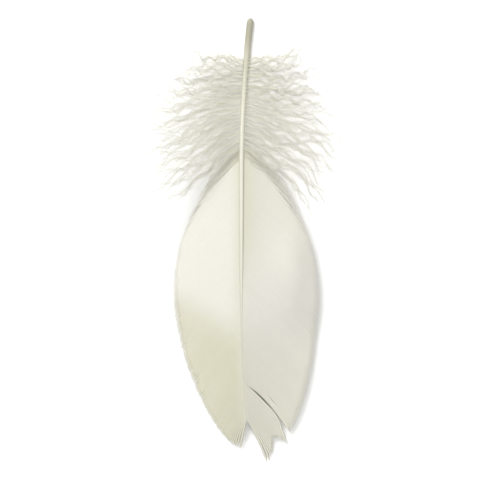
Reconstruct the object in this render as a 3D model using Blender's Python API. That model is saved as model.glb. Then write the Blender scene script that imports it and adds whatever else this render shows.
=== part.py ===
"""A white goose body feather, lying with its outer side up, its quill towards +Y and its tip towards -Y.

Places on the feather are given in its plan, as seen from straight above: a is the distance along
the shaft from the quill's end, and w the distance out from the shaft, both in metres. A height
function lifts that plan into the arched feather. The feather grew as one piece, so the shaft, its
two vanes and the down locks at its base are one closed mesh.
"""

import math

import bmesh
import bpy

# Places along the shaft, in metres from the quill's end
QUILL_END = 0.0090
VANE_START = 0.0300
SHAFT_END = 0.0910
# The plan position that lies over the origin, so that the origin is under the middle of the feather
CENTRE_A = 0.05035
CENTRE_X = -0.00034

# The shaft's half width, and how it leaves its straight line at both ends. Its facets are numbered
# anticlockwise from the one at its right side.
SHAFT_SIDES = 8
LOCK_FACETS = (7, 0, 1, 3, 4, 5)
VANE_FACETS = (0, 4)
QUILL_RADIUS = 0.00080
SHAFT_END_RADIUS = 0.00020
SHAFT_TAPER = 0.8
QUILL_ROUNDING = 0.0011
QUILL_CAP = 0.06
QUILL_END_STEPS = (0.0, 0.2, 0.5, 1.0)
QUILL_RINGS = (0.0030, 0.0060)
QUILL_BEND = 0.0021
QUILL_BEND_LENGTH = 0.034
TIP_BEND = 0.0012
TIP_BEND_START = 0.0600

# The arch of the shaft: a slow rise to its crest, then a knee and a straight slope down, which would
# reach the surface at SLOPE_END
ARCH_HEIGHT = 0.0087
CREST = 0.0640
KNEE = 0.0690
SLOPE_END = 0.1017
KNEE_ADVANCE = 0.0050
KNEE_SOFTNESS = 0.0013

# How far each vane falls away from the shaft, left -1 and right +1: evenly, and more towards its
# edge. Near the tip it lies flatter.
VANE_SLOPE = {-1: 0.0022, 1: 0.0016}
VANE_FALL = {-1: 0.0024, 1: 0.0046}
TIP_FLATNESS = 0.80
FLATTENING = (0.0660, 0.0980)
# A shallow swelling on the right vane: its height, its middle and its reach, both given along the
# shaft and as a share of the vane's width
SWELLING = {-1: 0.0, 1: 0.0022}
SWELLING_PLACE = (0.0560, 0.66)
SWELLING_REACH = (0.0090, 0.24)

# The outline of each vane: its half width, its ends along the shaft, how quickly it widens from them
# (less is fuller), and how much further out the right one's far end turns
VANE_WIDTH = {-1: 0.0153, 1: 0.0176}
OUTLINE_START = 0.0270
OUTLINE_END = {-1: 0.0976, 1: 0.1001}
BASE_FULLNESS = {-1: 0.95, 1: 0.75}
TIP_FULLNESS = 0.50
TIP_TURN = {-1: 0.0, 1: 0.0011}
TIP_TURN_START = 0.0660
# The barbs' way from the shaft to that outline: where the first and the last one reach it, how the
# ones between share it out, and how far each has come, along and out, where it turns
MARGIN_START = 0.0390
MARGIN_END = {-1: 0.0974, 1: 0.0997}
MARGIN_LEAD = 0.66
BARB_LEAD = (0.38, 0.58)
VANE_ROOT_THICKNESS = 0.00038
VANE_EDGE_THICKNESS = 0.00022
VANE_ROWS = 36
VANE_COLUMNS = (0.08, 0.22, 0.38, 0.54, 0.70, 0.85, 1.0)

# The split in the right vane, near the tip, counted in rows from the vane's start
SPLIT_ROW = 31
SPLIT_OPENING = 0.00025
SPLIT_CLOSES = 0.70
SPLIT_EDGE_GAP = 0.00010
SPLIT_EDGE_START = 0.25
SPLIT_REACH = 0.0035
# How much further the barbs beyond the split reach along the shaft, and how much further out they
# turn at the split and at the shaft's end
TONGUE_REACH = 0.0010
TONGUE_TURN = (0.0005, 0.0012)
# How the ends of the barbs beside the split turn away from it, along the shaft and out, and from
# which share of their way on
LOBE_TURN = (0.0014, -0.0010)
LOBE_START = 0.55
# The notch in the end of the tongue beyond the split: where its deepest barb leaves the shaft, how
# much of that barb is missing, and how far along the shaft the notch reaches before and after it
NOTCH_ROOT = 0.0876
NOTCH_DEPTH = 0.25
NOTCH_REACH = (0.0050, 0.0030)

# The down locks, which grow in three layers on each side of the shaft
LOCKS_PER_ROW = 12
LOCK_STEPS = (0.05, 0.15, 0.27, 0.40, 0.53, 0.66, 0.79, 0.90, 1.0)
LOCK_THICKNESS = 0.00034
LOCK_TIP_THICKNESS = 0.00020
LOCK_LEAD = (0.32, 0.54)
LOCK_ROOT_HALF = 0.00060
LOCK_SPREAD = 0.031
LOCK_TIP_SHARE = 0.16
LOCK_TAPER_START = 0.40
# Where the locks leave the shaft, as shares of its half width: outwards, and above or below its middle
LOCK_ROOT_OUT = 0.8
LOCK_ROOT_UP = 0.72
# The angle to the shaft of the first lock of each row, and how evenly the next ones turn from it
LOCK_ROOT_ANGLE = math.radians(100)
LOCK_TURNING = 0.85
LOCK_LENGTHS = (0.0115, 0.0185, 0.0245, 0.0255, 0.0225)
LOCK_UNEVENNESS = 0.11
# How fast the unevenness changes along a row, and how it differs between the sides and the layers
LOCK_UNEVEN_RATE = 53
LOCK_UNEVEN_SIDE = 2
LOCK_UNEVEN_LAYER = 3
LOCK_WAVES = 1.15
LOCK_WAVE_DRIFT = 0.4
# The share of its length at which a lower lock comes down to the surface
LOWER_LOCK_LANDS = 0.5
# A short step along a lock, from which its direction is read
LOCK_STRIDE = 0.01
LAYERS = {
    "upper": {"facet": 1, "angle": 45, "rise": 0.0050, "droop": 0.0014, "length": 0.90, "wave": 0.0010},
    "middle": {"facet": 0, "angle": 56, "rise": 0.0018, "droop": 0.0010, "length": 1.00, "wave": 0.0007},
    "lower": {"facet": -1, "angle": 47, "rise": 0.0, "droop": 0.0, "length": 0.96, "wave": 0.0009},
}

# The feather's look, and the angle between faces above which an edge is drawn sharp
IVORY = (0.84, 0.81, 0.70, 1.0)
ROUGHNESS = 0.55
SHARP_ANGLE = math.radians(40)


def clamp(value, low=0.0, high=1.0):
    return max(low, min(high, value))


def smooth(value):
    value = clamp(value)
    return value * value * (3 - 2 * value)


def mix(start, end, share):
    return start + (end - start) * share


def along(values, share):
    """The value at a share of the way through evenly spaced values, joined by straight lines."""
    place = clamp(share) * (len(values) - 1)
    step = min(int(place), len(values) - 2)
    return mix(values[step], values[step + 1], place - step)


def shaft_radius(a):
    """The shaft's half width: a rounded end, a bare quill, then an even taper to the tip."""
    taper = mix(QUILL_RADIUS, SHAFT_END_RADIUS, clamp(a / SHAFT_END) ** SHAFT_TAPER)
    rounding = clamp(a / QUILL_ROUNDING)
    return taper * math.sqrt(max(QUILL_CAP, rounding * (2 - rounding)))


def shaft_offset(a):
    """The bare quill and the far end of the shaft both bend a little to the right."""
    quill = QUILL_BEND * clamp(1 - a / QUILL_BEND_LENGTH) ** 2
    return quill + TIP_BEND * clamp((a - TIP_BEND_START) / (SHAFT_END - TIP_BEND_START)) ** 2


def arch(a, out=0.0):
    """The height of the shaft's underside, and how the vane's outer parts bend at the knee before it."""
    past_knee = (a - KNEE + KNEE_ADVANCE * out) / KNEE_SOFTNESS
    slope = ARCH_HEIGHT / (SLOPE_END - KNEE)
    rise = ARCH_HEIGHT * smooth((a - QUILL_END) / (CREST - QUILL_END))
    return rise - slope * KNEE_SOFTNESS * math.log1p(math.exp(past_knee))


def shaft_height(a):
    """The height of the shaft's middle, whose flat underside lies on the arch."""
    a = max(a, QUILL_ROUNDING)
    return arch(a) + shaft_radius(a) * math.cos(math.pi / SHAFT_SIDES)


def vane_height(side, a, w):
    """The height of the vane's middle surface: it falls from the shaft to its edge."""
    out = w / VANE_WIDTH[side]
    bend = arch(a) - arch(a, out)
    flatness = TIP_FLATNESS * smooth((a - FLATTENING[0]) / (FLATTENING[1] - FLATTENING[0]))
    fall = (bend + VANE_SLOPE[side] * out + VANE_FALL[side] * out**2) * (1 - flatness)
    off_along = (a - SWELLING_PLACE[0]) / SWELLING_REACH[0]
    off_out = (out - SWELLING_PLACE[1]) / SWELLING_REACH[1]
    swelling = SWELLING[side] * math.exp(-off_along**2 - off_out**2)
    return shaft_height(a) - fall + swelling


def outline(side, a):
    """The vane's half width at a place along the shaft: narrow at the base, widest past the middle."""
    share = clamp((a - OUTLINE_START) / (OUTLINE_END[side] - OUTLINE_START))
    fullness = mix(BASE_FULLNESS[side], TIP_FULLNESS, share)
    turn = TIP_TURN[side] * smooth((a - TIP_TURN_START) / (MARGIN_END[side] - TIP_TURN_START))
    return VANE_WIDTH[side] * math.sin(math.pi * share) ** fullness + turn


def curve_point(start, end, lead, t):
    """A point on a plan curve that leaves the shaft steeply and turns towards the tip."""
    handle = [mix(s, e, k) for s, e, k in zip(start, end, lead)]
    return [(1 - t) ** 2 * s + 2 * t * (1 - t) * h + t * t * e for s, h, e in zip(start, handle, end)]


def barb_plan(side, root, t, part=0):
    """Where a vane barb that leaves the shaft at root has got to, at the share t of its way out.

    part is -1 before the split, 1 beyond it and 0 on the vane that has none.
    """
    share = clamp((root - VANE_START) / (SHAFT_END - VANE_START))
    reached = mix(MARGIN_START, MARGIN_END[side], share**MARGIN_LEAD)
    start = (root, shaft_radius(root))
    end = (reached, outline(side, reached))
    if part <= 0:
        return curve_point(start, end, BARB_LEAD, t)
    split = row_place(SPLIT_ROW)
    beyond = clamp((root - split) / (SHAFT_END - split))
    end = (end[0] + TONGUE_REACH, end[1] + mix(*TONGUE_TURN, beyond))
    a, w = curve_point(start, end, BARB_LEAD, t)
    turned = (1 - beyond) ** 2 * smooth((t - LOBE_START) / (1 - LOBE_START))
    return a + LOBE_TURN[0] * turned, w + LOBE_TURN[1] * turned


def barb_length(root, part):
    """The share of its way that a barb grows: less in the notch in the tongue's end."""
    if part <= 0:
        return 1.0
    before, after = NOTCH_REACH
    off = abs(root - NOTCH_ROOT) / (before if root < NOTCH_ROOT else after)
    return 1 - NOTCH_DEPTH * clamp(1 - off)


def row_place(row):
    return mix(VANE_START, SHAFT_END, row / VANE_ROWS)


def split_shift(row, part, t):
    """How far the split moves a barb along the shaft: away from the split, and less with distance."""
    opening = SPLIT_OPENING * math.sin(math.pi * clamp(t / SPLIT_CLOSES))
    opening += SPLIT_EDGE_GAP * smooth(t / SPLIT_EDGE_START)
    nearness = math.exp(-abs(row_place(row) - row_place(SPLIT_ROW)) / SPLIT_REACH)
    return part * opening * nearness


def lock_plan(side, layer, root, t):
    """Where the middle of a down lock has got to in plan, waving a little on its way out."""
    share = (root - QUILL_END) / (VANE_START - QUILL_END)
    facts = LAYERS[layer]
    angle = mix(LOCK_ROOT_ANGLE, math.radians(facts["angle"]), share**LOCK_TURNING)
    phase = LOCK_UNEVEN_RATE * share + LOCK_UNEVEN_SIDE * side + LOCK_UNEVEN_LAYER * facts["facet"]
    length = along(LOCK_LENGTHS, share) * facts["length"] * (1 + LOCK_UNEVENNESS * math.sin(phase))
    start = (root, LOCK_ROOT_OUT * shaft_radius(root))
    end = (start[0] + length * math.cos(angle), start[1] + length * math.sin(angle))
    a, w = curve_point(start, end, LOCK_LEAD, t)
    sway = facts["wave"] * t * math.sin(math.tau * (LOCK_WAVES * t + LOCK_WAVE_DRIFT * share) + side)
    return a - sway * math.sin(angle), w + sway * math.cos(angle)


def lock_half(side, layer, root, t):
    """The half width of a down lock: it fans out with its neighbours, then runs to a narrow tip."""
    length = math.dist(lock_plan(side, layer, root, 0), lock_plan(side, layer, root, 1))
    taper = mix(1.0, LOCK_TIP_SHARE, smooth((t - LOCK_TAPER_START) / (1 - LOCK_TAPER_START)))
    return (LOCK_ROOT_HALF + LOCK_SPREAD * length * t) * taper


def lock_height(layer, root, t):
    """The height of a lock's middle: upper ones rise, lower ones come down and lie on the surface."""
    facts = LAYERS[layer]
    start = shaft_height(root) + LOCK_ROOT_UP * facts["facet"] * shaft_radius(root)
    if layer == "lower":
        return start * (1 - clamp(t / LOWER_LOCK_LANDS)) ** 2
    return start + facts["rise"] * t * (2 - t) - facts["droop"] * t**3


class Feather:
    """The closed mesh, grown out from the rings of the shaft."""

    def __init__(self):
        self.mesh = bmesh.new()
        self.rings = {}

    def vertex(self, side, a, w, z):
        """A vertex at a plan position on one side of the shaft."""
        x = shaft_offset(a) + side * w - CENTRE_X
        return self.mesh.verts.new((x, CENTRE_A - a, z))

    def face(self, side, corners):
        """A face, with its corners turned round on the right so that it points out on both sides."""
        self.mesh.faces.new(corners if side < 0 else corners[::-1])

    def ring(self, a):
        """The eight corners of the shaft at a, from the right side's lower one, anticlockwise."""
        if a not in self.rings:
            radius, middle = shaft_radius(a), shaft_height(a)
            angles = [math.tau * (k - 0.5) / SHAFT_SIDES for k in range(SHAFT_SIDES)]
            self.rings[a] = [
                self.vertex(1, a, radius * math.cos(angle), middle + radius * math.sin(angle))
                for angle in angles
            ]
        return self.rings[a]

    def facet(self, side, step, a):
        """The lower and upper corner of a facet of the shaft, counted up from the one at its side."""
        ring = self.ring(a)
        if side > 0:
            return ring[step % SHAFT_SIDES], ring[(step + 1) % SHAFT_SIDES]
        left = SHAFT_SIDES // 2 - step
        return ring[left + 1], ring[left]

    def shaft(self, places, taken):
        """The shaft's skin between rings, apart from the facets that carry vanes and locks."""
        for a, b in zip(places, places[1:]):
            for k in range(SHAFT_SIDES):
                if (a, k) in taken:
                    continue
                near, far, after = self.ring(a), self.ring(b), (k + 1) % SHAFT_SIDES
                self.mesh.faces.new((near[k], near[after], far[after], far[k]))
        self.mesh.faces.new(self.ring(places[0])[::-1])
        self.mesh.faces.new(self.ring(places[-1]))

    def slab(self, side, rows):
        """A closed slab on rows of (lower, upper) corners, each running out from the shaft."""
        for near, far in zip(rows, rows[1:]):
            for inner, outer, inner_far, outer_far in zip(near, near[1:], far, far[1:]):
                self.face(side, (inner[1], outer[1], outer_far[1], inner_far[1]))
                self.face(side, (inner[0], inner_far[0], outer_far[0], outer[0]))
            self.face(side, (near[-1][1], near[-1][0], far[-1][0], far[-1][1]))
        for inner, outer in zip(rows[0], rows[0][1:]):
            self.face(side, (inner[0], outer[0], outer[1], inner[1]))
        for inner, outer in zip(rows[-1], rows[-1][1:]):
            self.face(side, (inner[1], outer[1], outer[0], inner[0]))

    def vane(self, side, first_row, last_row, part):
        """One sheet of barbs between two rows of the vane. part says which side of the split it is on."""
        rows = []
        for row in range(first_row, last_row + 1):
            root = row_place(row)
            corners = [self.facet(side, 0, root)]
            for column in VANE_COLUMNS:
                t = column * barb_length(root, part)
                a, w = barb_plan(side, root + split_shift(row, part, t), t, part)
                z = vane_height(side, a, w)
                half = mix(VANE_ROOT_THICKNESS, VANE_EDGE_THICKNESS, column) / 2
                corners.append((self.vertex(side, a, w, z - half), self.vertex(side, a, w, z + half)))
            rows.append(corners)
        self.slab(side, rows)

    def lock(self, side, layer, start, end):
        """One down lock, grown out of the shaft's facet between two rings."""
        root, step = (start + end) / 2, LAYERS[layer]["facet"]
        rows = [[self.facet(side, step, start)], [self.facet(side, step, end)]]
        for t in LOCK_STEPS:
            a, w = lock_plan(side, layer, root, t)
            a_next, w_next = lock_plan(side, layer, root, t + LOCK_STRIDE)
            turn = math.atan2(w_next - w, a_next - a)
            half = lock_half(side, layer, root, t)
            thick = mix(LOCK_THICKNESS, LOCK_TIP_THICKNESS, t) / 2
            z = max(thick, lock_height(layer, root, t))
            for row, way in zip(rows, (-1, 1)):
                place = (a + way * half * math.sin(turn), w - way * half * math.cos(turn))
                row.append((self.vertex(side, *place, z - thick), self.vertex(side, *place, z + thick)))
        self.slab(side, rows)


def down_places():
    return [mix(QUILL_END, VANE_START, i / LOCKS_PER_ROW) for i in range(LOCKS_PER_ROW + 1)]


def build_feather():
    feather = Feather()
    quill = [QUILL_ROUNDING * share for share in QUILL_END_STEPS] + list(QUILL_RINGS)
    down = down_places()
    vane = [row_place(row) for row in range(1, VANE_ROWS + 1)]
    taken = {(a, facet) for a in down[:-1] for facet in LOCK_FACETS}
    taken |= {(a, facet) for a in [VANE_START] + vane[:-1] for facet in VANE_FACETS}
    feather.shaft(quill + down + vane, taken)
    for side in (-1, 1):
        for start, end in zip(down, down[1:]):
            for layer in LAYERS:
                feather.lock(side, layer, start, end)
    feather.vane(-1, 0, VANE_ROWS, 0)
    feather.vane(1, 0, SPLIT_ROW, -1)
    feather.vane(1, SPLIT_ROW, VANE_ROWS, 1)
    return feather.mesh


def feather_material():
    material = bpy.data.materials.new("ivory_feather")
    material.use_nodes = True
    shader = material.node_tree.nodes["Principled BSDF"]
    shader.inputs["Base Color"].default_value = IVORY
    shader.inputs["Roughness"].default_value = ROUGHNESS
    shader.inputs["Metallic"].default_value = 0.0
    return material


def main():
    for obj in list(bpy.data.objects):
        bpy.data.objects.remove(obj)
    shape = build_feather()
    mesh = bpy.data.meshes.new("feather")
    shape.to_mesh(mesh)
    shape.free()
    mesh.shade_smooth()
    mesh.set_sharp_from_angle(angle=SHARP_ANGLE)
    mesh.materials.append(feather_material())
    feather = bpy.data.objects.new("feather", mesh)
    bpy.context.scene.collection.objects.link(feather)


main()
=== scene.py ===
"""The white goose feather, dressed strand by strand.

Its vanes are rows of flat barbs, its base is fluffy down, its shaft is ivory and its bare quill is
translucent horn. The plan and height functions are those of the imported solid: a is the distance
along the shaft from the quill's end, and w the distance out from the shaft, in metres.
"""

import math
import random

import bpy
import numpy as np
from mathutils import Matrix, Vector


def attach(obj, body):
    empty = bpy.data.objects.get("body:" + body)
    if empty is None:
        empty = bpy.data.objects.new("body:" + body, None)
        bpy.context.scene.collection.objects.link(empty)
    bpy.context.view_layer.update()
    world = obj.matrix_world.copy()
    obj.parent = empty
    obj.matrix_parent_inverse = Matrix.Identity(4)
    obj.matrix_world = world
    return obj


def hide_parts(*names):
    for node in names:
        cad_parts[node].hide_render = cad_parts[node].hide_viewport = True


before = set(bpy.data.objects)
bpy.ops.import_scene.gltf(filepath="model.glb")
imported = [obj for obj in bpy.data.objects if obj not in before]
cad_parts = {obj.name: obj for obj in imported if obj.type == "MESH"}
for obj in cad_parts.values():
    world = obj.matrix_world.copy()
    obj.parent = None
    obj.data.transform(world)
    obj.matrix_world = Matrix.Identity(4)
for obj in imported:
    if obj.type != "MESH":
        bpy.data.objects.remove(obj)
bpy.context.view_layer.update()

# Places along the shaft, in metres from the quill's end
QUILL_END = 0.0090
VANE_START = 0.0300
SHAFT_END = 0.0910
# The plan position that lies over the origin
CENTRE_A = 0.05035
CENTRE_X = -0.00034

# The shaft's half width, and how it leaves its straight line at both ends
SHAFT_SIDES = 8
QUILL_RADIUS = 0.00080
SHAFT_END_RADIUS = 0.00020
SHAFT_TAPER = 0.8
QUILL_ROUNDING = 0.0011
QUILL_CAP = 0.06
QUILL_BEND = 0.0021
QUILL_BEND_LENGTH = 0.034
TIP_BEND = 0.0012
TIP_BEND_START = 0.0600
# Its rings: round, close together in the quill's rounded end, and inside the dimple there, each with
# its place and its size
SHAFT_RING_SIDES = 28
SHAFT_RINGS = 180
QUILL_TIP_TURNS = range(0, 90, 10)
QUILL_TIP_RINGS = [QUILL_ROUNDING * (1 - math.cos(math.radians(turn))) for turn in QUILL_TIP_TURNS]
DIMPLE_RINGS = [(0.0006, 0.05), (0.0004, 0.16), (0.0, 0.72)]
# Where it starts and ends to sink between the vanes, and how thin and how low it is from there on
SINKING = (0.048, 0.074)
SUNK_SIZE = 0.62
SUNK_DEPTH = 0.30
# The groove along its underside: its depth, how soon it is that deep, and where its edges are
UNDERSIDE_GROOVE = 0.30
UNDERSIDE_GROOVE_START = 0.004
UNDERSIDE_GROOVE_EDGE = 0.70

# The arch of the shaft: a slow rise to its crest, then a knee and a straight slope down, which would
# reach the surface at SLOPE_END
ARCH_HEIGHT = 0.0087
CREST = 0.0640
KNEE = 0.0690
SLOPE_END = 0.1017
KNEE_ADVANCE = 0.0050
KNEE_SOFTNESS = 0.0013

# How far each vane falls away from the shaft, left -1 and right +1: evenly, and more towards its
# edge. Near the tip it lies flatter.
VANE_SLOPE = {-1: 0.0022, 1: 0.0016}
VANE_FALL = {-1: 0.0024, 1: 0.0046}
TIP_FLATNESS = 0.80
FLATTENING = (0.0660, 0.0980)
# A shallow swelling on the right vane: its height, its middle and its reach, both given along the
# shaft and as a share of the vane's width
SWELLING = {-1: 0.0, 1: 0.0022}
SWELLING_PLACE = (0.0560, 0.66)
SWELLING_REACH = (0.0090, 0.24)

# The outline of each vane: its half width, its ends along the shaft, how quickly it widens from them
# (less is fuller), and how much further out the right one's far end turns
VANE_WIDTH = {-1: 0.0153, 1: 0.0176}
OUTLINE_START = 0.0270
OUTLINE_END = {-1: 0.0976, 1: 0.1001}
BASE_FULLNESS = {-1: 0.95, 1: 0.75}
TIP_FULLNESS = 0.50
TIP_TURN = {-1: 0.0, 1: 0.0011}
TIP_TURN_START = 0.0660
# The barbs' way from the shaft to that outline: where the first and the last one reach it, how the
# ones between share it out, and how far each has come, along and out, where it turns
MARGIN_START = 0.0390
MARGIN_END = {-1: 0.0974, 1: 0.0997}
MARGIN_LEAD = 0.66
BARB_LEAD = (0.38, 0.58)
# Barbs and locks start inside the shaft, at this share of its half width
ROOT_OUT = 0.5

# The split in the right vane, near the tip
SPLIT_ROOT = 0.08253
SPLIT_OPENING = 0.00025
SPLIT_CLOSES = 0.70
SPLIT_EDGE_GAP = 0.00010
SPLIT_EDGE_START = 0.25
SPLIT_REACH = 0.0035
# How much further the barbs beyond the split reach along the shaft, and how much further out they
# turn at the split and at the shaft's end
TONGUE_REACH = 0.0010
TONGUE_TURN = (0.0005, 0.0012)
# How the ends of the barbs beside the split turn away from it, along the shaft and out, and from
# which share of their way on
LOBE_TURN = (0.0014, -0.0010)
LOBE_START = 0.55
# The notch in the end of the tongue beyond the split: where its deepest barb leaves the shaft, how
# much of that barb is missing, and how far along the shaft the notch reaches before and after it
NOTCH_ROOT = 0.0876
NOTCH_DEPTH = 0.25
NOTCH_REACH = (0.0050, 0.0030)
# The fine gap between the barbs that runs on inwards from the notch
FORK_START = 0.55
FORK_OPENING = 0.00016
FORK_REACH = 0.0011
# The short crack before the split: where its barb leaves the shaft, between which shares of that
# barb's way it lies, how far it opens, and how far along the shaft it moves the barbs
CRACK_ROOT = 0.0810
CRACK_SPAN = (0.40, 0.66)
CRACK_OPENING = 0.00019
CRACK_REACH = 0.0006

# The groups into which the barbs gather at the margin: where the first one starts, how wide they are
# along the shaft, the share of them with a deep gap, and for both kinds how far the gap opens and
# from which share of the barbs' way on
GROUPS_START = VANE_START - 0.001
GROUP_WIDTH = (0.0016, 0.0060)
DEEP_GAPS = 0.10
GAP_OPENING = {"deep": (0.00014, 0.00024), "fine": (0.0, 0.00007)}
GAP_START = {"deep": (0.70, 0.80), "fine": (0.86, 0.96)}

# The down locks, which grow in three layers on each side of the shaft
LOCKS_PER_ROW = 12
LOCK_LEAD = (0.32, 0.54)
LOCK_ROOT_UP = 0.72
# The angle to the shaft of the first lock of each row, and how evenly the next ones turn from it
LOCK_ROOT_ANGLE = math.radians(100)
LOCK_TURNING = 0.85
LOCK_LENGTHS = (0.0115, 0.0185, 0.0245, 0.0255, 0.0225)
LOCK_UNEVENNESS = 0.11
# How fast the unevenness changes along a row, and how it differs between the sides and the layers
LOCK_UNEVEN_RATE = 53
LOCK_UNEVEN_SIDE = 2
LOCK_UNEVEN_LAYER = 3
LOCK_WAVES = 1.15
LOCK_WAVE_DRIFT = 0.4
# The share of its length at which a lower lock comes down to the surface
LOWER_LOCK_LANDS = 0.5
LAYERS = {
    "upper": {"facet": 1, "angle": 45, "rise": 0.0050, "droop": 0.0014, "length": 0.90, "wave": 0.0010},
    "middle": {"facet": 0, "angle": 56, "rise": 0.0018, "droop": 0.0010, "length": 1.00, "wave": 0.0007},
    "lower": {"facet": -1, "angle": 47, "rise": 0.0, "droop": 0.0, "length": 0.96, "wave": 0.0009},
}

# The barbs of the vanes, each a flat strand with a ridge on top and a keel below
VANE_BARBS = 150
BARB_STEPS = 26
FIRST_BARB = VANE_START + 0.0001
BARB_OVERLAP = 1.45
BARB_WIDEST = 0.00052
BARB_NARROWEST = 0.00006
BARB_RIDGE = 0.000045
BARB_KEEL = 0.000045
# How far it leans over, so that each one lies on the next like a tile
BARB_TILT = 0.18
# How much longer or shorter than its way it grows, and its tip: from which share of its way on it
# narrows, over which share, and to which share of its width
BARB_UNEVENNESS = (-0.010, 0.006)
BARB_TIP_START = 0.90
BARB_TIP_LENGTH = 0.10
BARB_TIP_WIDTH = 0.30
# Ridges along the barbs: height, pitch along the shaft, and how each is turned at the shaft and
# towards the edge. They are quick to grow to their height.
UNDULATIONS = (0.000075, 0.0170, 0.3, 0.9), (0.000035, 0.0083, 1.9, -1.4), (0.000016, 0.0034, 4.0, 2.1)
UNDULATION_RATE = 1.6
# The groove in the vane beside the shaft: its depth, the share of the barbs' way at its middle and
# within its reach, and from where along the shaft and over what length it fades
GROOVE_DEPTH = 0.00013
GROOVE_PLACE = 0.05
GROOVE_REACH = 0.05
GROOVE_FADE_START = 0.050
GROOVE_FADE = 0.018

# Where the lowest vane barbs turn fluffy: at a share of the first one's length, and nowhere from
# FLUFF_END on, give or take an unevenness
FLUFF_FIRST = 0.16
FLUFF_END = 0.0355
FLUFF_UNEVENNESS = 0.20
# The least and the greatest share of its length at which a barb can turn fluffy
FLUFF_SHARES = (0.03, 0.97)
# How much a fluffy barb shortens and narrows, and over what share of its length it narrows
FLUFF_SHORTENING = 0.10
FLUFF_NARROWING = 0.75
FLUFF_CHANGE = 0.30
# How far its end strays, and how late on its way it does
FLUFF_STRAY = 0.0020
FLUFF_STRAY_POWER = 1.5
# How dense its barbules are, their tone, and over what share of its length they grow
FLUFF_DENSITY = 0.7
FLUFF_TONE = 0.3
FLUFF_GROWTH = 0.25
# Soft barbs over the base of each vane, where the down gives way to it: their number, where they
# leave the shaft, how much of a vane barb's way they grow, how far they lift and sway, how quickly
# they come to sway, how many waves they make, and how dense their barbules are from which share on
FRINGE_BARBS = 11
FRINGE_ROOTS = (0.0270, 0.0322)
FRINGE_END = (0.65, 1.15)
FRINGE_LIFT = (0.0002, 0.0008)
FRINGE_SWAY = (0.0002, 0.0005)
FRINGE_SWAY_RATE = 4
FRINGE_WAVES = (1.6, 3.4)
FRINGE_DENSITY = 0.55
FRINGE_BARE = 0.02

# The down's barbs: their number in each layer and side, how evenly they are spaced, the share that is
# bare at the root, the stem's half width, and how it narrows from its root to its tip
DOWN_BARBS = 26
DOWN_STEPS = 48
DOWN_SPACING = (0.2, 0.8)
DOWN_BARE = 0.03
DOWN_CORE = 0.000075
DOWN_CORE_ROOT = 1.05
DOWN_CORE_TAPER = 0.85
# How closely each one keeps to its lock, and how quickly it gets there
DOWN_GATHER = (0.25, 0.80)
DOWN_GATHER_RATE = 1.4
# How far it sways along the shaft, at its root and more towards its tip, and how far out
DOWN_SWAY = (0.00025, 0.00075)
DOWN_SWAY_GROWTH = (0.5, 0.9)
DOWN_SWAY_RATE = 5
DOWN_SWAY_OUT = 0.5
# How far it rises and falls, and how that is turned from its sway
DOWN_LIFT = (0.0002, 0.0007)
DOWN_LIFT_TURN = 1.7
LIFT_RATE = 3
# How many waves it makes, how far its end strays and how much of its lock's way it grows
DOWN_WAVES = (2.6, 5.0)
DOWN_STRAY = (-0.0016, 0.0016)
DOWN_END = (0.84, 1.04)
# The lowest that a soft barb and anything else lie above the surface
BARB_CLEARANCE = 0.0002
FLOOR_CLEARANCE = 0.00004

# The barbules of the down: how close, long and thin they are, and how they narrow to their middle
BARBULES_PER_METRE = 14000
BARBULE_LENGTH = 0.00092
BARBULE_RADIUS = 0.000020
BARBULE_WAIST = 0.75
# Shares of a barb, and how long its barbules are there
BARBULE_SWELL = (0, 0.18, 0.7, 1.0), (0.55, 1.0, 0.95, 0.42)
BARBULE_SIZES = (0.65, 1.15)
# The size of the first ones, and the share of the barb over which they grow from it
BARBULE_FIRST = 0.25
BARBULE_GROWTH = 0.001
# Their lean from the barb in degrees, how far they spread up and down, where their middle and tip
# are, how much the tip bends forward and scatters, and how much their tone differs
BARBULE_LEAN = (38, 66)
BARBULE_SPREAD = 0.75
BARBULE_MIDDLE = 0.5
BARBULE_TIP = 0.92
BARBULE_BEND = 0.25
BARBULE_SCATTER = 0.09
BARBULE_TONES = 0.15
# A short step along a barb, from which its direction is read
BARBULE_STRIDE = 0.0002

# Where painted shade begins on the left vane past its knee, where it bends away from the light: at the
# shaft, how much sooner further out, and over what length
PAINTED_SHADE_KNEE = 0.0722
PAINTED_SHADE_ADVANCE = 0.60
PAINTED_SHADE_SPREAD = 0.011
# How far the left vane goes towards the darker creamy colour at its base, how much more past the knee as
# painted shade, and how much more towards the tip, partly as a real creamy tint and partly as painted
# shade
CREAM_AND_SHADE_AT_BASE = 0.12
PAINTED_SHADE_PAST_KNEE = 0.82
CREAM_AND_SHADE_TO_TIP = 0.12
# Places along the right vane, and how far it goes towards the darker creamy colour there: least near
# 0.060 as a painted highlight on its swelling, more elsewhere as painted shade, and most towards the tip,
# where part of it is a real creamy tint
CREAM_SHADE_AND_HIGHLIGHT_ON_RIGHT = (0.045, 0.060, 0.070, 0.080, 0.092), (0.22, 0.08, 0.12, 0.34, 0.52)
# How much darker and creamier both vanes are beside the shaft, partly the barbs' real darker bases and
# partly painted shade where the vane falls away from the light, how far out that reaches, and from where
# along the shaft and over what length it fades on the right one
CREAM_AND_SHADE_BESIDE = {-1: 0.5, 1: 0.45}
CREAM_AND_SHADE_BESIDE_REACH = {-1: 0.0018, 1: 0.0036}
BESIDE_SHADE_FADE_START = 0.048
BESIDE_SHADE_FADE = 0.016
# The width over which the left vane's colour gives way to the right one's
CREAM_AND_SHADE_BLEND = 0.003

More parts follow.
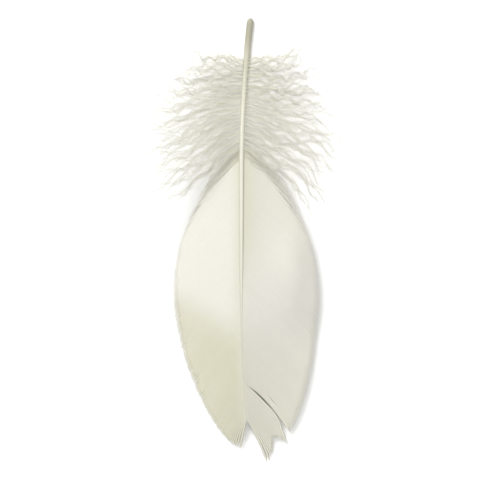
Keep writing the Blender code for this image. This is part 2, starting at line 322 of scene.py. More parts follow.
# The colours of the vanes: white, and a darker creamy one that is partly a real creamy tint and partly
# painted shade; and tints of single barbs, of their outer ends, of soft patches and of the barbule lines,
# each with how strongly it shows
VANE_WHITE = (0.914, 0.906, 0.857, 1.0)
VANE_CREAM_AND_SHADE = (0.757, 0.736, 0.569, 1.0)
BARB_TINT, BARB_TINT_SHARE = (0.825, 0.805, 0.70, 1.0), 0.18
END_TINT, END_TINT_SHARE = (0.905, 0.890, 0.826, 1.0), 0.15
PATCH_TINT, PATCH_TINT_SHARE = (0.838, 0.822, 0.724, 1.0), 0.22
LINE_TINT, LINE_TINT_SHARE = (0.70, 0.685, 0.60, 1.0), 0.06
# The scale and the detail of the patches, and the roughness that they add
PATCH_NOISE = (180.0, 3.0)
VANE_ROUGHNESS = 0.46
PATCH_ROUGHNESS = 0.12
# The share of the light that comes through. The down and the shaft have one too.
VANE_GLOW = 0.26
# The fine lines that the barbules draw across each barb: how many, how they differ from barb to barb,
# and how they stand out
BARBULE_LINES = 170
BARBULE_LINE_DRIFT = 7.0
LINE_RELIEF = {"Strength": 0.7, "Distance": 0.00005}

# The colours of the down, from its light barbs to its dark ones, and at their tips
DOWN_LIGHT = (0.999, 0.992, 0.938, 1.0)
DOWN_DARK, DOWN_DARK_SHARE = (0.991, 0.978, 0.892, 1.0), 0.5
DOWN_TIP, DOWN_TIP_SHARE = (0.999, 0.996, 0.977, 1.0), 0.65
DOWN_GLOW = 0.66

# The colours of the shaft: two of the quill's horn, grey where the down grows, ivory, and its streaks.
# Each change is between two shares of the shaft's length.
HORN_DARK = (0.30, 0.29, 0.21, 1.0)
HORN_LIGHT = (0.47, 0.455, 0.35, 1.0)
SHAFT_GREY, GREY_RISE = (0.57, 0.56, 0.46, 1.0), (0.04, 0.10)
SHAFT_IVORY, IVORY_RISE = (0.70, 0.685, 0.595, 1.0), (0.08, 0.24)
STREAK_TINT, STREAK_TINT_SHARE = (0.62, 0.60, 0.49, 1.0), 0.25
STREAK_NOISE = (420.0, 4.0)
STREAK_STRETCH = (1, 0.08, 1)
SHAFT_GLOW = 0.2

# The stage: a sheet of paper, the sky, two lamps with their power, size and position, and the camera
PAPER = (0.90, 0.90, 0.895, 1.0)
PAPER_HALF = 1.5
SKY = (1.0, 0.995, 0.98, 1.0)
SKY_STRENGTH = 0.54
LAMPS = {
    "window": (6.8, 0.42, (-0.30, 0.50, 0.64)),
    "reflector": (2.4, 0.60, (0.18, -0.48, 0.50)),
}
CAMERA_LENS = 150
CAMERA_HEIGHT = 0.455

# Where the random draws of each piece start
VANE_SEED = 11
MARGIN_SEED = 40
DOWN_SEED = 70
DOWN_SEED_SIDE = 10

SIDES = {-1: "left", 1: "right"}
THIRDS = (0.0, math.tau / 3, 2 * math.tau / 3)
UP = np.array([0.0, 0.0, 1.0])
# A direction that no barbule keeps to
ASKEW = np.array([0.31, 0.52, 0.79])


def clamp(value, low=0.0, high=1.0):
    return max(low, min(high, value))


def smooth(value):
    value = clamp(value)
    return value * value * (3 - 2 * value)


def mix(start, end, share):
    return start + (end - start) * share


def along(values, share):
    """The value at a share of the way through evenly spaced values, joined by straight lines."""
    place = clamp(share) * (len(values) - 1)
    step = min(int(place), len(values) - 2)
    return mix(values[step], values[step + 1], place - step)


def shaft_radius(a):
    """The shaft's half width: a rounded end, a bare quill, then an even taper to the tip."""
    taper = mix(QUILL_RADIUS, SHAFT_END_RADIUS, clamp(a / SHAFT_END) ** SHAFT_TAPER)
    rounding = clamp(a / QUILL_ROUNDING)
    return taper * math.sqrt(max(QUILL_CAP, rounding * (2 - rounding)))


def shaft_offset(a):
    """The bare quill and the far end of the shaft both bend a little to the right."""
    quill = QUILL_BEND * clamp(1 - a / QUILL_BEND_LENGTH) ** 2
    return quill + TIP_BEND * clamp((a - TIP_BEND_START) / (SHAFT_END - TIP_BEND_START)) ** 2


def arch(a, out=0.0):
    """The height of the shaft's underside, and how the vane's outer parts bend at the knee before it."""
    past_knee = (a - KNEE + KNEE_ADVANCE * out) / KNEE_SOFTNESS
    slope = ARCH_HEIGHT / (SLOPE_END - KNEE)
    rise = ARCH_HEIGHT * smooth((a - QUILL_END) / (CREST - QUILL_END))
    return rise - slope * KNEE_SOFTNESS * math.log1p(math.exp(past_knee))


def shaft_height(a):
    """The height of the shaft's middle, whose flat underside in the solid lies on the arch."""
    a = max(a, QUILL_ROUNDING)
    return arch(a) + shaft_radius(a) * math.cos(math.pi / SHAFT_SIDES)


def vane_height(side, a, w):
    """The height of the vane's middle surface: it falls from the shaft to its edge."""
    out = w / VANE_WIDTH[side]
    bend = arch(a) - arch(a, out)
    flatness = TIP_FLATNESS * smooth((a - FLATTENING[0]) / (FLATTENING[1] - FLATTENING[0]))
    fall = (bend + VANE_SLOPE[side] * out + VANE_FALL[side] * out**2) * (1 - flatness)
    off_along = (a - SWELLING_PLACE[0]) / SWELLING_REACH[0]
    off_out = (out - SWELLING_PLACE[1]) / SWELLING_REACH[1]
    swelling = SWELLING[side] * math.exp(-off_along**2 - off_out**2)
    return shaft_height(a) - fall + swelling


def outline(side, a):
    """The vane's half width at a place along the shaft: narrow at the base, widest past the middle."""
    share = clamp((a - OUTLINE_START) / (OUTLINE_END[side] - OUTLINE_START))
    fullness = mix(BASE_FULLNESS[side], TIP_FULLNESS, share)
    turn = TIP_TURN[side] * smooth((a - TIP_TURN_START) / (MARGIN_END[side] - TIP_TURN_START))
    return VANE_WIDTH[side] * math.sin(math.pi * share) ** fullness + turn


def curve_point(start, end, lead, t):
    """A point on a plan curve that leaves the shaft steeply and turns towards the tip."""
    handle = [mix(s, e, k) for s, e, k in zip(start, end, lead)]
    return [(1 - t) ** 2 * s + 2 * t * (1 - t) * h + t * t * e for s, h, e in zip(start, handle, end)]


def barb_plan(side, root, t, part=0):
    """Where a vane barb that leaves the shaft at root has got to in plan, at the share t of its way.

    part is -1 before the long split, 1 beyond it and 0 on the vane that has none.
    """
    share = clamp((root - VANE_START) / (SHAFT_END - VANE_START))
    reached = mix(MARGIN_START, MARGIN_END[side], share**MARGIN_LEAD)
    start = (root, ROOT_OUT * shaft_radius(root))
    end = (reached, outline(side, reached))
    if part <= 0:
        return curve_point(start, end, BARB_LEAD, t)
    beyond = clamp((root - SPLIT_ROOT) / (SHAFT_END - SPLIT_ROOT))
    end = (end[0] + TONGUE_REACH, end[1] + mix(*TONGUE_TURN, beyond))
    a, w = curve_point(start, end, BARB_LEAD, t)
    turned = (1 - beyond) ** 2 * smooth((t - LOBE_START) / (1 - LOBE_START))
    return a + LOBE_TURN[0] * turned, w + LOBE_TURN[1] * turned


def barb_length(root, part):
    """The share of its way that a barb grows: less in the notch in the tongue's end."""
    if part <= 0:
        return 1.0
    before, after = NOTCH_REACH
    off = abs(root - NOTCH_ROOT) / (before if root < NOTCH_ROOT else after)
    return 1 - NOTCH_DEPTH * clamp(1 - off)


def lock_plan(side, layer, root, t):
    """Where the middle of a down lock has got to in plan, waving a little on its way out."""
    share = (root - QUILL_END) / (VANE_START - QUILL_END)
    facts = LAYERS[layer]
    angle = mix(LOCK_ROOT_ANGLE, math.radians(facts["angle"]), share**LOCK_TURNING)
    phase = LOCK_UNEVEN_RATE * share + LOCK_UNEVEN_SIDE * side + LOCK_UNEVEN_LAYER * facts["facet"]
    length = along(LOCK_LENGTHS, share) * facts["length"] * (1 + LOCK_UNEVENNESS * math.sin(phase))
    start = (root, ROOT_OUT * shaft_radius(root))
    end = (start[0] + length * math.cos(angle), start[1] + length * math.sin(angle))
    a, w = curve_point(start, end, LOCK_LEAD, t)
    sway = facts["wave"] * t * math.sin(math.tau * (LOCK_WAVES * t + LOCK_WAVE_DRIFT * share) + side)
    return a - sway * math.sin(angle), w + sway * math.cos(angle)


def lock_height(layer, root, t):
    """The height of a lock's middle: upper ones rise, lower ones come down and lie on the surface."""
    facts = LAYERS[layer]
    start = shaft_height(root) + LOCK_ROOT_UP * facts["facet"] * shaft_radius(root)
    if layer == "lower":
        return start * (1 - clamp(t / LOWER_LOCK_LANDS)) ** 2
    return start + facts["rise"] * t * (2 - t) - facts["droop"] * t**3


def place(side, a, w, z):
    """A plan position on one side of the shaft, as a point of the model."""
    return (shaft_offset(a) + side * w - CENTRE_X, CENTRE_A - a, z)


def unit(vectors):
    return vectors / np.maximum(np.linalg.norm(vectors, axis=-1, keepdims=True), 1e-12)


def smooth_all(values):
    values = np.clip(values, 0, 1)
    return values * values * (3 - 2 * values)


def cream_and_painted_light(points):
    """How far the vane's colour goes towards the darker creamy one at points: kept white where the left
    vane faces the light as far as its knee, painted shade past the knee and beside the shaft, a painted
    highlight on the right vane's swelling, and partly a real creamy tint, partly painted shade towards
    the tip."""
    a, x = CENTRE_A - points[:, 1], points[:, 0] + CENTRE_X
    left = np.clip(0.5 - x / CREAM_AND_SHADE_BLEND, 0, 1)
    # Painted shade past the knee, where the left vane bends away from the light
    past = smooth_all(0.5 + (a - PAINTED_SHADE_KNEE + PAINTED_SHADE_ADVANCE * np.abs(x)) / PAINTED_SHADE_SPREAD)
    further = np.clip((a - KNEE) / (SHAFT_END - KNEE), 0, 1)
    # Darker beside the shaft: partly the barbs' real darker bases, partly painted shade
    beside = {side: np.exp(-((x / reach) ** 2)) for side, reach in CREAM_AND_SHADE_BESIDE_REACH.items()}
    fading = 1 - smooth_all((a - BESIDE_SHADE_FADE_START) / BESIDE_SHADE_FADE)
    on_left = CREAM_AND_SHADE_AT_BASE + PAINTED_SHADE_PAST_KNEE * past + CREAM_AND_SHADE_TO_TIP * further
    on_left += CREAM_AND_SHADE_BESIDE[-1] * beside[-1] * (1 - past)
    # On the right: a painted highlight on the swelling, painted shade beside the shaft and towards the
    # tip
    on_right = np.interp(a, *CREAM_SHADE_AND_HIGHLIGHT_ON_RIGHT) + CREAM_AND_SHADE_BESIDE[1] * (beside[1] * fading)
    return left * on_left + (1 - left) * on_right


class Strands:
    """Closed strands gathered into one mesh, each with a tone and a place along itself."""

    def __init__(self):
        self.points, self.faces, self.tones, self.reaches = [], [], [], []
        self.count = 0

    def add(self, points, faces, tones, reaches):
        """Points and faces, with each point's tone and how far along its strand it is, from 0 to 1."""
        self.points.append(points.reshape(-1, 3))
        self.faces.append(faces + self.count)
        self.tones.append(tones.reshape(-1))
        self.reaches.append(reaches.reshape(-1))
        self.count += len(self.points[-1])

    def tube(self, rings, tone, reaches):
        """A closed tube through rings of corners, given as an array of ring, corner and x, y, z."""
        steps, sides, _ = rings.shape
        here = np.arange(steps * sides).reshape(steps, sides)
        turned = np.roll(here, -1, axis=1)
        lower, upper = here[:-1].ravel(), here[1:].ravel()
        lower_next, upper_next = turned[:-1].ravel(), turned[1:].ravel()
        skin = np.concatenate(
            [
                np.stack([lower, lower_next, upper_next], axis=1),
                np.stack([lower, upper_next, upper], axis=1),
            ]
        )
        fan = np.array([[0, k + 1, k] for k in range(1, sides - 1)])
        ends = np.concatenate([fan, (steps - 1) * sides + fan[:, ::-1]])
        tones = np.full((steps, sides), tone)
        self.add(rings, np.concatenate([skin, ends]), tones, np.repeat(reaches[:, None], sides, axis=1))

    def spikes(self, roots, middles, tips, radius, tones, reaches):
        """Many thin closed spikes at once, each bent at its middle and three-sided."""
        count = len(roots)
        axis = unit(tips - roots)
        aside = unit(np.cross(axis, ASKEW))
        above = np.cross(axis, aside)
        turns = np.array(THIRDS)[None, :, None]
        spokes = aside[:, None] * np.cos(turns) + above[:, None] * np.sin(turns)
        points = np.empty((count, 7, 3))
        points[:, 0:3] = roots[:, None] + spokes * radius
        points[:, 3:6] = middles[:, None] + spokes * radius * BARBULE_WAIST
        points[:, 6] = tips
        pattern = [(0, 2, 1)]
        for k in range(3):
            n = (k + 1) % 3
            pattern += [(k, n, 3 + n), (k, 3 + n, 3 + k), (3 + k, 3 + n, 6)]
        faces = (np.arange(count) * 7)[:, None, None] + np.array(pattern)[None]
        self.add(points, faces.reshape(-1, 3), np.repeat(tones, 7), np.repeat(reaches, 7))

    def piece(self, name, finish, slot):
        """The strands as one object that stands for the solid feather, in a finish."""
        mesh = bpy.data.meshes.new(name)
        points = np.concatenate(self.points)
        mesh.from_pydata(points.tolist(), [], np.concatenate(self.faces).tolist())
        # The third look is how far each point goes towards the darker creamy colour: partly a real creamy
        # tint, mostly painted shade and a painted highlight on the vanes
        looks = {
            "tone": np.concatenate(self.tones),
            "reach": np.concatenate(self.reaches),
            "cream_and_shade": cream_and_painted_light(points),
        }
        for label, values in looks.items():
            attribute = mesh.attributes.new(label, "FLOAT", "POINT")
            attribute.data.foreach_set("value", values.astype(np.float32))
        mesh.shade_smooth()
        mesh.materials.append(finish)
        obj = bpy.data.objects.new(name, mesh)
        bpy.context.scene.collection.objects.link(obj)
        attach(obj, "root")
        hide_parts("feather")
        return obj


class Value:
    """A socket of a finish's node. Sums and products with it add Math nodes."""

    def __init__(self, finish, socket):
        self.finish, self.socket = finish, socket

    def __add__(self, other):
        return self.finish.node("Math", {"operation": "ADD"}, {0: self, 1: other})

    def __mul__(self, other):
        return self.finish.node("Math", {"operation": "MULTIPLY"}, {0: self, 1: other})


class Finish:
    """A material in the making. Every node but the last comes from node()."""

    def __init__(self, name):
        self.material = bpy.data.materials.new(name)
        self.material.use_nodes = True
        self.tree = self.material.node_tree
        self.tree.nodes.clear()

    def node(self, kind, settings=None, values=None, out=0):
        """A node of a kind, with its settings set first, then the values or links of its sockets."""
        made = self.tree.nodes.new("ShaderNode" + kind)
        for name, setting in (settings or {}).items():
            setattr(made, name, setting)
        for key, value in (values or {}).items():
            if isinstance(value, Value):
                self.tree.links.new(value.socket, made.inputs[key])
            else:
                made.inputs[key].default_value = value
        return Value(self, made.outputs[out])

    def attribute(self, name):
        return self.node("Attribute", {"attribute_name": name}, out=2)

    def between(self, first, second, share):
        """A colour part of the way from the first to the second."""
        return self.node("Mix", {"data_type": "RGBA"}, {0: share, 6: first, 7: second}, out=2)

    def noise(self, scale, detail, stretch=(1, 1, 1)):
        """Soft noise over the object, stretched along an axis by a small scale on it."""
        where = self.node("TexCoord", out=3)
        where = self.node("Mapping", values={"Vector": where, "Scale": stretch})
        return self.node("TexNoise", values={"Vector": where, "Scale": scale, "Detail": detail})

    def rise(self, value, low, high):
        """0 below low, 1 above high, and smooth between."""
        settings = {"interpolation_type": "SMOOTHSTEP"}
        return self.node("MapRange", settings, {"Value": value, "From Min": low, "From Max": high})

    def surface(self, body, through=None, share=0.0):
        """Ends the finish in a Principled body, mixed with light that comes through thin parts."""
        shader = self.node("BsdfPrincipled", values=body)
        if through is not None:
            glow = self.node("BsdfTranslucent", values={"Color": through})
            shader = self.node("MixShader", values={0: share, 1: shader, 2: glow})
        end = self.tree.nodes.new("ShaderNodeOutputMaterial")
        self.tree.links.new(shader.socket, end.inputs[0])
        return self.material


def vane_finish():
    """Creamy white satin with a tone for every barb: white where it faces the light, painted shade past
    the knee, beside the shaft and towards the tip, where some of the creamier colour is a real tint.
    """
    finish = Finish("satin_vane")
    tone, reach, cream_and_shade = finish.attribute("tone"), finish.attribute("reach"), finish.attribute("cream_and_shade")
    white = finish.between(VANE_WHITE, VANE_CREAM_AND_SHADE, cream_and_shade)
    white = finish.between(white, BARB_TINT, tone * BARB_TINT_SHARE)
    white = finish.between(white, END_TINT, reach * END_TINT_SHARE)
    patchy = finish.noise(*PATCH_NOISE)
    base = finish.between(white, PATCH_TINT, patchy * PATCH_TINT_SHARE)
    place_across = reach * BARBULE_LINES + tone * BARBULE_LINE_DRIFT
    lines = finish.node("Math", {"operation": "PINGPONG"}, {0: place_across, 1: 0.5})
    base = finish.between(base, LINE_TINT, lines * LINE_TINT_SHARE)
    relief = finish.node("Bump", values={**LINE_RELIEF, "Height": lines})
    body = {
        "Base Color": base,
        "Roughness": patchy * PATCH_ROUGHNESS + VANE_ROUGHNESS,
        "Specular IOR Level": 0.38,
        "Sheen Weight": 0.12,
        "Sheen Roughness": 0.4,
        "Normal": relief,
    }
    return finish.surface(body, base, VANE_GLOW)


def down_finish():
    """Soft white fluff, matt and nearly as bright with light coming through it as on it."""
    finish = Finish("fluffy_down")
    tone, reach = finish.attribute("tone"), finish.attribute("reach")
    base = finish.between(DOWN_LIGHT, DOWN_DARK, tone * DOWN_DARK_SHARE)
    base = finish.between(base, DOWN_TIP, reach * DOWN_TIP_SHARE)
    body = {"Base Color": base, "Roughness": 0.75, "Specular IOR Level": 0.2}
    return finish.surface(body, base, DOWN_GLOW)


def shaft_finish():
    """Ivory along the shaft, and grey olive horn in the bare quill, streaked along its length."""
    finish = Finish("ivory_shaft")
    reach = finish.attribute("reach")
    streaks = finish.noise(*STREAK_NOISE, STREAK_STRETCH)
    horn = finish.between(HORN_DARK, HORN_LIGHT, streaks)
    grey = finish.between(horn, SHAFT_GREY, finish.rise(reach, *GREY_RISE))
    ivory = finish.between(grey, SHAFT_IVORY, finish.rise(reach, *IVORY_RISE))
    body = {
        "Base Color": finish.between(ivory, STREAK_TINT, streaks * STREAK_TINT_SHARE),
        "Roughness": 0.36,
        "Specular IOR Level": 0.42,
    }
    return finish.surface(body, ivory, SHAFT_GLOW)


def floor_finish():
    body = {"Base Color": PAPER, "Roughness": 0.9, "Specular IOR Level": 0.1}
    return Finish("white_paper").surface(body)


def shaft_ring(a, size=1.0):
    """A ring round the shaft, grooved underneath along the vanes and sunk between them near the tip."""
    sinking = smooth((a - SINKING[0]) / (SINKING[1] - SINKING[0]))
    radius = shaft_radius(a) * mix(1.0, SUNK_SIZE, sinking) * size
    middle = shaft_height(a) - SUNK_DEPTH * shaft_radius(a) * sinking
    grooving = UNDERSIDE_GROOVE * smooth((a - VANE_START) / UNDERSIDE_GROOVE_START)
    ring = []
    for turn in np.linspace(0, math.tau, SHAFT_RING_SIDES, endpoint=False):
        below = smooth((-math.sin(turn) - UNDERSIDE_GROOVE_EDGE) / (1 - UNDERSIDE_GROOVE_EDGE))
        height = middle + radius * math.sin(turn) * (1 - grooving * below)
        ring.append(place(1, a, radius * math.cos(turn), max(height, FLOOR_CLEARANCE)))
    return ring


def build_shaft(finish):
    """The quill and shaft: round, finely ringed, with a dimple in the quill's end."""
    strands = Strands()
    places = QUILL_TIP_RINGS + list(np.linspace(QUILL_ROUNDING, SHAFT_END, SHAFT_RINGS))
    rings = [shaft_ring(a, size) for a, size in DIMPLE_RINGS] + [shaft_ring(a) for a in places]
    reaches = np.array([a for a, _ in DIMPLE_RINGS] + places) / SHAFT_END
    strands.tube(np.array(rings), 0.0, reaches)
    return strands.piece("shaft", finish, "quill")


def undulation(side, root, t):
    """Shallow ridges and hollows that run along the barbs, and the groove beside the shaft."""
    swell = 0.0
    for size, pitch, turn, drift in UNDULATIONS:
        swell += size * math.sin(math.tau * root / pitch + turn + side + drift * t)
    groove = GROOVE_DEPTH * math.exp(-((t - GROOVE_PLACE) / GROOVE_REACH) ** 2)
    groove *= 1 - smooth((root - GROOVE_FADE_START) / GROOVE_FADE)
    return swell * smooth(UNDULATION_RATE * t) - groove


def split_shift(side, root, t):
    """How far a barb moves along the shaft beside the long split in the right vane."""
    if side < 0:
        return 0.0
    opening = SPLIT_OPENING * math.sin(math.pi * clamp(t / SPLIT_CLOSES))
    opening += SPLIT_EDGE_GAP * smooth(t / SPLIT_EDGE_START)
    away = root - SPLIT_ROOT
    return math.copysign(opening * math.exp(-abs(away) / SPLIT_REACH), away)


def fork(side, root, t):
    """How far a barb of the tongue moves aside to open the fine gap that runs on from its notch."""
    if side < 0 or root < SPLIT_ROOT:
        return 0.0
    away = root - NOTCH_ROOT
    opening = FORK_OPENING * smooth((t - FORK_START) / (1 - FORK_START))
    return math.copysign(opening * math.exp(-abs(away) / FORK_REACH), away)


def crack(side, root, t):
    """How far a barb moves aside for the short crack that lies beside the long split."""
    if side < 0 or root > SPLIT_ROOT:
        return 0.0
    start, end = CRACK_SPAN
    away = root - CRACK_ROOT
    opening = CRACK_OPENING * math.sin(math.pi * clamp((t - start) / (end - start)))
    return math.copysign(opening * math.exp(-abs(away) / CRACK_REACH), away)


class Margin:
    """How the barbs of one vane gather into small groups at its margin, with fine gaps between."""

    def __init__(self, side):
        draw = random.Random(MARGIN_SEED + side)
        self.groups = []
        start = GROUPS_START
        while start < SHAFT_END:
            width = draw.uniform(*GROUP_WIDTH)
            kind = "deep" if draw.random() < DEEP_GAPS else "fine"
            gap = draw.uniform(*GAP_OPENING[kind])
            depth = draw.uniform(*GAP_START[kind])
            self.groups.append((start, start + width, gap, depth))
            start += width

    def shift(self, root, t):
        for low, high, gap, depth in self.groups:
            if low <= root < high:
                off = (2 * root - low - high) / (high - low)
                return -off * gap * smooth((t - depth) / (1 - depth))
        return 0.0


def fluff_start(root):
    """The share of its length at which a vane barb turns fluffy: low on the first barbs, and 1, which
    is its tip, from FLUFF_END on."""
    return mix(FLUFF_FIRST, 1.0, clamp((root - VANE_START) / (FLUFF_END - VANE_START)))


def build_vane(side, finish, fluff):
    """One vane: a row of flat barbs that overlap like tiles, with soft ends."""
    draw = random.Random(VANE_SEED + side)
    margin = Margin(side)
    roots = np.linspace(FIRST_BARB, SHAFT_END, VANE_BARBS)
    shares = np.linspace(0, 1, BARB_STEPS + 1)
    closed = np.empty((VANE_BARBS, BARB_STEPS + 1, 3))
    opened = np.empty_like(closed)
    starts = []
    for i, root in enumerate(roots):
        begins = fluff_start(root) + draw.uniform(-FLUFF_UNEVENNESS, FLUFF_UNEVENNESS)
        part = 0 if side < 0 else math.copysign(1, root - SPLIT_ROOT)
        end = 1 + draw.uniform(*BARB_UNEVENNESS) - FLUFF_SHORTENING * max(0.0, 1 - begins) * draw.random()
        end *= barb_length(root, part)
        lift, stray = draw.uniform(-1, 1), draw.uniform(-1, 1)
        starts.append(max(begins, FLUFF_SHARES[0]))
        for j, share in enumerate(shares):
            t = share * end
            a, w = barb_plan(side, root, t, part)
            closed[i, j] = place(side, a, w, vane_height(side, a, w))
            moved = root + split_shift(side, root, t) + margin.shift(root, t)
            moved += fork(side, root, t) + crack(side, root, t)
            a, w = barb_plan(side, moved, t, part)
            tail = FLUFF_STRAY * max(0.0, t - begins) ** FLUFF_STRAY_POWER
            z = vane_height(side, a, w) + undulation(side, root, t) + lift * tail
            opened[i, j] = place(side, a + stray * tail, w, z)
    across_rows = np.gradient(closed, axis=0)
    down_barb = unit(np.gradient(opened, axis=1))
    normal = unit(np.cross(down_barb, across_rows)) * side
    normal *= np.sign(normal[..., 2:3])
    spacing = np.linalg.norm(np.cross(across_rows, unit(np.gradient(closed, axis=1))), axis=-1)
    narrowing = [smooth((share - BARB_TIP_START) / BARB_TIP_LENGTH) for share in shares]
    tip = np.array([mix(1.0, BARB_TIP_WIDTH, share) for share in narrowing])
    strands = Strands()
    for i in range(VANE_BARBS):
        loose = smooth_all((shares - starts[i]) / FLUFF_CHANGE)
        width = np.minimum(spacing[i] * BARB_OVERLAP, BARB_WIDEST)
        width = np.maximum(width * tip * (1 - FLUFF_NARROWING * loose), BARB_NARROWEST)
        aside = unit(np.cross(down_barb[i], normal[i]) + BARB_TILT * normal[i])
        half = (aside.T * width / 2).T
        middle = opened[i]
        ridge = normal[i] * BARB_RIDGE
        keel = normal[i] * BARB_KEEL
        rings = np.stack([middle + half, middle + ridge, middle - half, middle - keel], axis=1)
        strands.tube(rings, draw.random() ** 2, shares)
        if starts[i] < FLUFF_SHARES[1]:
            fluff.barbules(middle, draw, starts[i], FLUFF_DENSITY, growth=FLUFF_GROWTH)
    for _ in range(FRINGE_BARBS):
        root = draw.uniform(*FRINGE_ROOTS)
        line = fringe_line(side, root, draw)
        tone = draw.random()
        fluff.barb(line, tone)
        fluff.barbules(line, draw, FRINGE_BARE, FRINGE_DENSITY, tone)
    return strands.piece(f"vane_{SIDES[side]}", finish, "feather")


def fringe_line(side, root, draw):
    """The way of a soft barb that lies loosely over the base of a vane, where the down ends."""
    lift, end = draw.uniform(*FRINGE_LIFT), draw.uniform(*FRINGE_END)
    sway, waves = draw.uniform(*FRINGE_SWAY), draw.uniform(*FRINGE_WAVES)
    turn = draw.uniform(0, math.tau)
    points = []
    for share in np.linspace(0, 1, DOWN_STEPS + 1):
        t = share * end
        a, w = barb_plan(side, root, t)
        z = vane_height(side, a, w) + lift * smooth(LIFT_RATE * t)
        a += sway * smooth(FRINGE_SWAY_RATE * t) * math.sin(math.tau * waves * t + turn)
        points.append(place(side, a, w, max(z, BARB_CLEARANCE)))
    return np.array(points)


class Down(Strands):
    """Downy barbs with their barbules."""

    def barbules(self, line, draw, start, density=1.0, tone=FLUFF_TONE, growth=BARBULE_GROWTH):
        """Barbules all round a barb from a share of its length on, leaning towards its tip.

        They grow to their full size over the share growth.
        """
        steps = np.linalg.norm(np.diff(line, axis=0), axis=1)
        reach = np.concatenate([[0], np.cumsum(steps)])
        count = int(reach[-1] * (1 - start) * BARBULES_PER_METRE * density)
        if count < 1:
            return
        dice = np.random.default_rng(draw.randrange(1 << 30))
        at = start + (1 - start) * (np.arange(count) + dice.random(count)) / count
        at = at * reach[-1]
        roots, ahead, behind = [
            np.stack([np.interp(at + step, reach, line[:, k]) for k in range(3)], axis=1)
            for step in (0, BARBULE_STRIDE, -BARBULE_STRIDE)
        ]
        forward = unit(ahead - behind)
        aside = unit(np.cross(forward, UP))
        above = np.cross(aside, forward)
        turn = dice.random(count) * math.tau
        spoke = aside * np.cos(turn)[:, None] + above * (BARBULE_SPREAD * np.sin(turn))[:, None]
        lean = np.radians(dice.uniform(*BARBULE_LEAN, count))[:, None]
        share = at / reach[-1]
        swell = np.interp(share, *BARBULE_SWELL)
        swell *= np.clip(BARBULE_FIRST + (share - start) / growth, 0, 1)
        size = (BARBULE_LENGTH * swell * dice.uniform(*BARBULE_SIZES, count))[:, None]
        out = forward * np.cos(lean) + spoke * np.sin(lean)
        middles = roots + out * size * BARBULE_MIDDLE
        tips = roots + out * size * BARBULE_TIP + forward * size * BARBULE_BEND
        tips += dice.normal(0, BARBULE_SCATTER, (count, 3)) * size
        for points in (middles, tips):
            points[:, 2] = np.maximum(points[:, 2], FLOOR_CLEARANCE)
        tones = np.clip(tone + dice.normal(0, BARBULE_TONES, count), 0, 1)
        self.spikes(roots, middles, tips, BARBULE_RADIUS, tones, share)

    def barb(self, line, tone):
        """A downy barb's own stem, three-sided and tapering to its tip."""
        forward = unit(np.gradient(line, axis=0))
        aside = unit(np.cross(forward, UP))
        above = np.cross(aside, forward)
        shares = np.linspace(0, 1, len(line))
        radius = DOWN_CORE * (DOWN_CORE_ROOT - DOWN_CORE_TAPER * shares)
        spokes = [aside * math.cos(turn) + above * math.sin(turn) for turn in THIRDS]
        rings = np.stack([line + (spoke.T * radius).T for spoke in spokes], axis=1)
        self.tube(rings[:, ::-1], tone, shares)


def down_line(side, layer, root, station, draw):
    """The way of one downy barb: it keeps near its lock, and waves on its own."""
    gather = draw.uniform(*DOWN_GATHER)
    sway, lift = draw.uniform(*DOWN_SWAY), draw.uniform(*DOWN_LIFT)
    waves, turn = draw.uniform(*DOWN_WAVES), draw.uniform(0, math.tau)
    stray = draw.uniform(*DOWN_STRAY)
    end = draw.uniform(*DOWN_END)
    at_root, growth = DOWN_SWAY_GROWTH
    points = []
    for share in np.linspace(0, 1, DOWN_STEPS + 1):
        t = share * end
        own, lock = lock_plan(side, layer, root, t), lock_plan(side, layer, station, t)
        a, w = [mix(o, k, gather * smooth(DOWN_GATHER_RATE * t)) for o, k in zip(own, lock)]
        swing = sway * (at_root + growth * t) * smooth(DOWN_SWAY_RATE * t)
        wave = math.tau * waves * t
        a += swing * math.sin(wave + turn) + stray * t * t
        w += DOWN_SWAY_OUT * swing * math.cos(wave + turn)
        bob = math.sin(wave + DOWN_LIFT_TURN * turn)
        z = lock_height(layer, root, t) + lift * smooth(LIFT_RATE * t) * bob
        points.append(place(side, a, w, max(z, BARB_CLEARANCE)))
    return np.array(points)


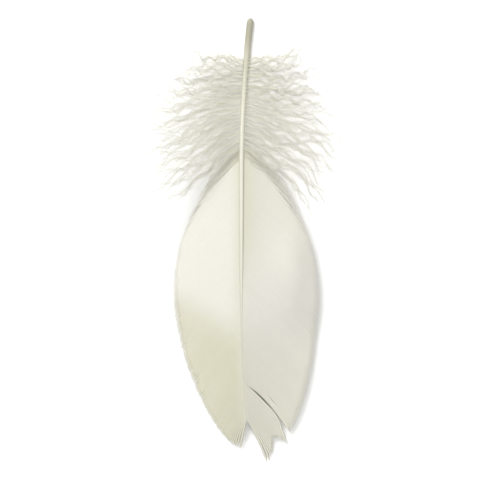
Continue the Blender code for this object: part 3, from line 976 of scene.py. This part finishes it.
def build_down(side, layer, finish):
    """One layer of down on one side of the shaft."""
    draw = random.Random(DOWN_SEED + DOWN_SEED_SIDE * side + LAYERS[layer]["facet"])
    strands = Down()
    span = VANE_START - QUILL_END
    for i in range(DOWN_BARBS):
        root = QUILL_END + span * (i + draw.uniform(*DOWN_SPACING)) / DOWN_BARBS
        number = min(int((root - QUILL_END) / span * LOCKS_PER_ROW), LOCKS_PER_ROW - 1)
        station = QUILL_END + span * (number + 0.5) / LOCKS_PER_ROW
        line = down_line(side, layer, root, station, draw)
        tone = draw.random()
        strands.barb(line, tone)
        strands.barbules(line, draw, DOWN_BARE, tone=tone)
    return strands.piece(f"down_{layer}_{SIDES[side]}", finish, "down")


def build_floor(finish):
    """A wide plain sheet of paper under the feather."""
    mesh = bpy.data.meshes.new("floor")
    corners = [(PAPER_HALF * x, PAPER_HALF * y, 0) for x, y in ((-1, -1), (1, -1), (1, 1), (-1, 1))]
    mesh.from_pydata(corners, [], [(0, 1, 2, 3)])
    mesh.materials.append(finish)
    floor = bpy.data.objects.new("floor", mesh)
    bpy.context.scene.collection.objects.link(floor)


def add_light(name, energy, size, position):
    """A soft square lamp that faces the feather."""
    light = bpy.data.lights.new(name, "AREA")
    light.energy, light.size = energy, size
    lamp = bpy.data.objects.new(name, light)
    lamp.location = position
    lamp.rotation_euler = Vector(position).to_track_quat("Z", "Y").to_euler()
    bpy.context.scene.collection.objects.link(lamp)


def set_the_scene():
    """Soft overhead light from a little beyond the quill, and a camera straight above."""
    scene = bpy.context.scene
    scene.view_settings.view_transform = "Standard"
    world = bpy.data.worlds.new("studio")
    world.use_nodes = True
    sky = world.node_tree.nodes["Background"]
    sky.inputs["Color"].default_value = SKY
    sky.inputs["Strength"].default_value = SKY_STRENGTH
    scene.world = world
    for name, facts in LAMPS.items():
        add_light(name, *facts)
    camera = bpy.data.cameras.new("camera")
    camera.lens = CAMERA_LENS
    eye = bpy.data.objects.new("camera", camera)
    eye.location = (0, 0, CAMERA_HEIGHT)
    scene.collection.objects.link(eye)
    scene.camera = eye


def main():
    shaft_look, vane_look, down_look = shaft_finish(), vane_finish(), down_finish()
    build_shaft(shaft_look)
    fluff = Down()
    for side in SIDES:
        build_vane(side, vane_look, fluff)
    fluff.piece("vane_fluff", down_look, "down")
    for side in SIDES:
        for layer in LAYERS:
            build_down(side, layer, down_look)
    build_floor(floor_finish())
    set_the_scene()


main()
